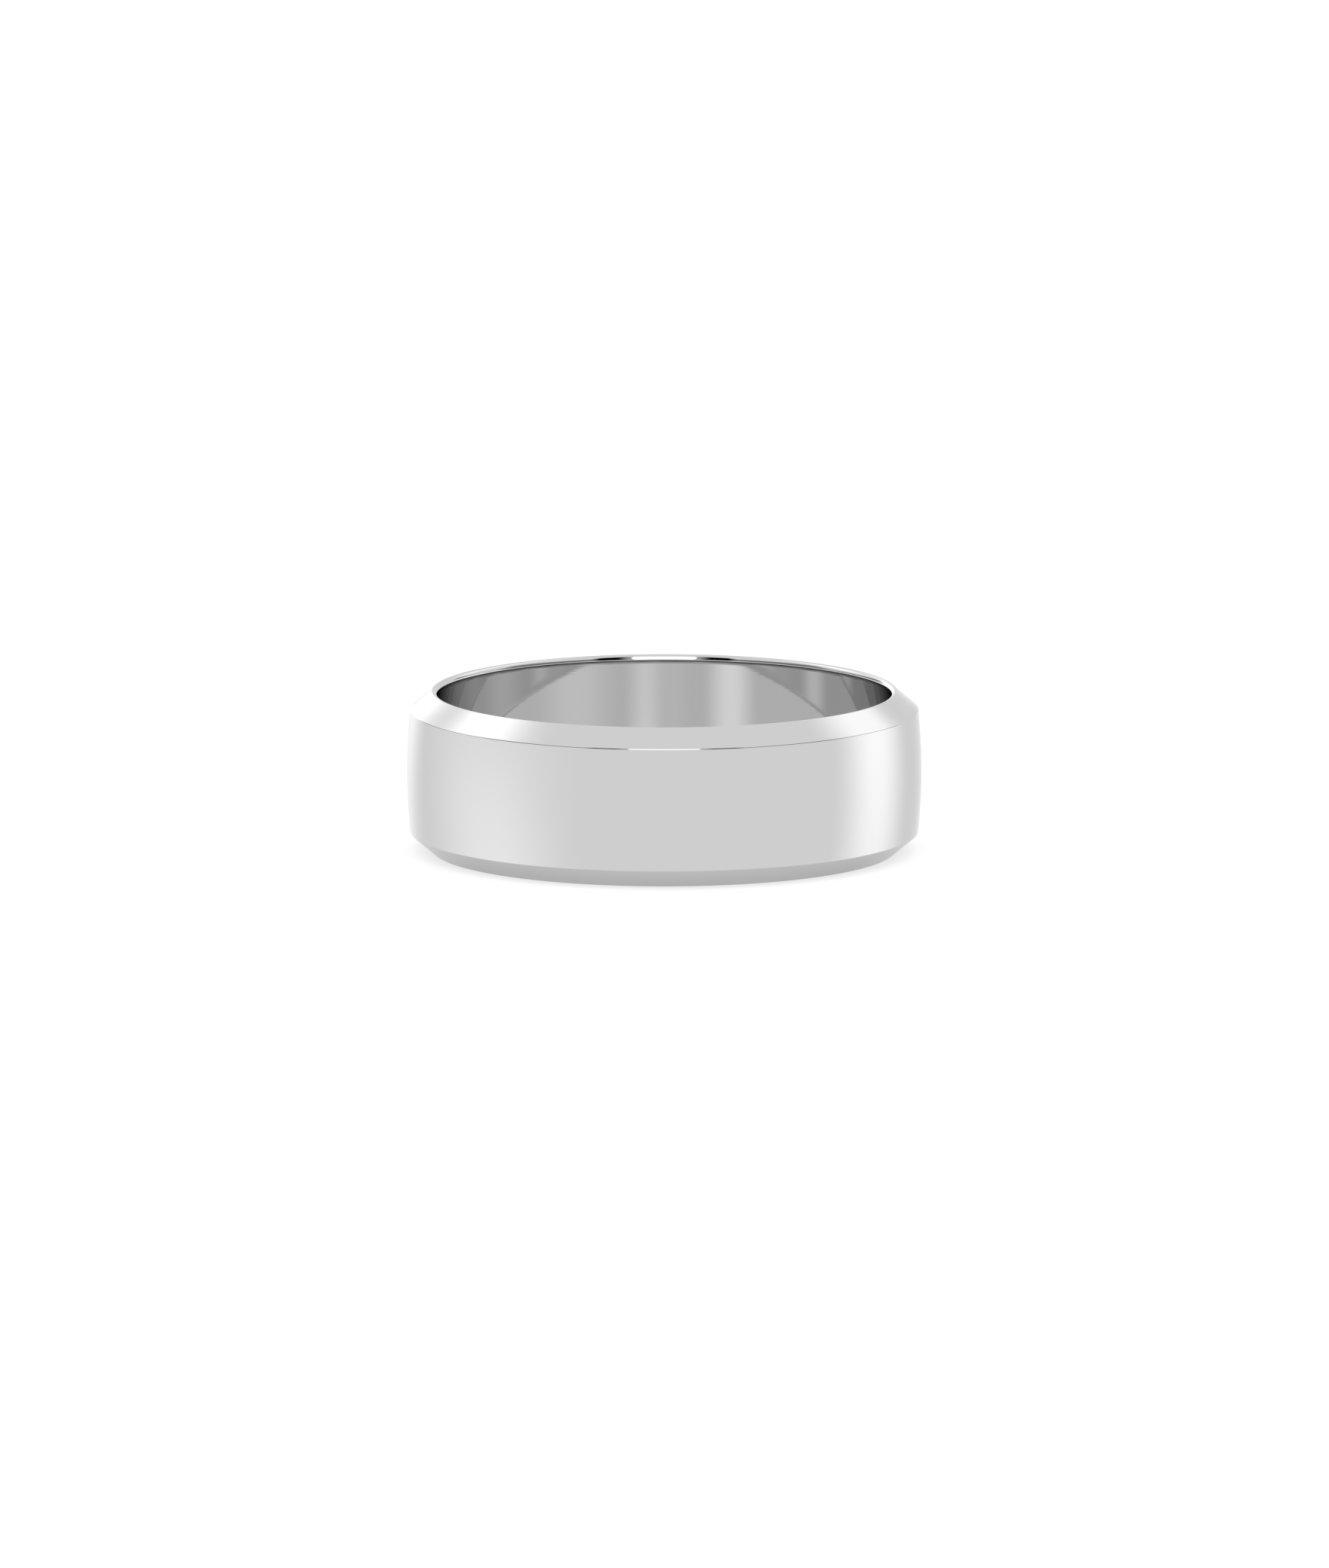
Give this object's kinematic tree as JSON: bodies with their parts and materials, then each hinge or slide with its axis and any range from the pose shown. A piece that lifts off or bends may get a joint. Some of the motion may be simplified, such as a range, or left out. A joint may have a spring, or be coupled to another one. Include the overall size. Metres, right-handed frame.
{
  "type": "wedding band",
  "caption": "Plain bevelled wedding band in polished white metal, with a softly domed middle and rounded inner edges.",
  "frame": {"origin": "centre of the circle on which the lower rim rests", "axes": "+Z along the finger axis, from the lower rim to the upper rim; +X and +Y are across the ring, and every direction across it is alike"},
  "size_m": [0.0192, 0.0192, 0.006],
  "materials": {
    "polished_white_gold": "mirror-polished white gold, rhodium bright, with the faintest wheel-polishing haze"
  },
  "bodies": {
    "root": {"band": "polished_white_gold"}
  },
  "joints": []
}
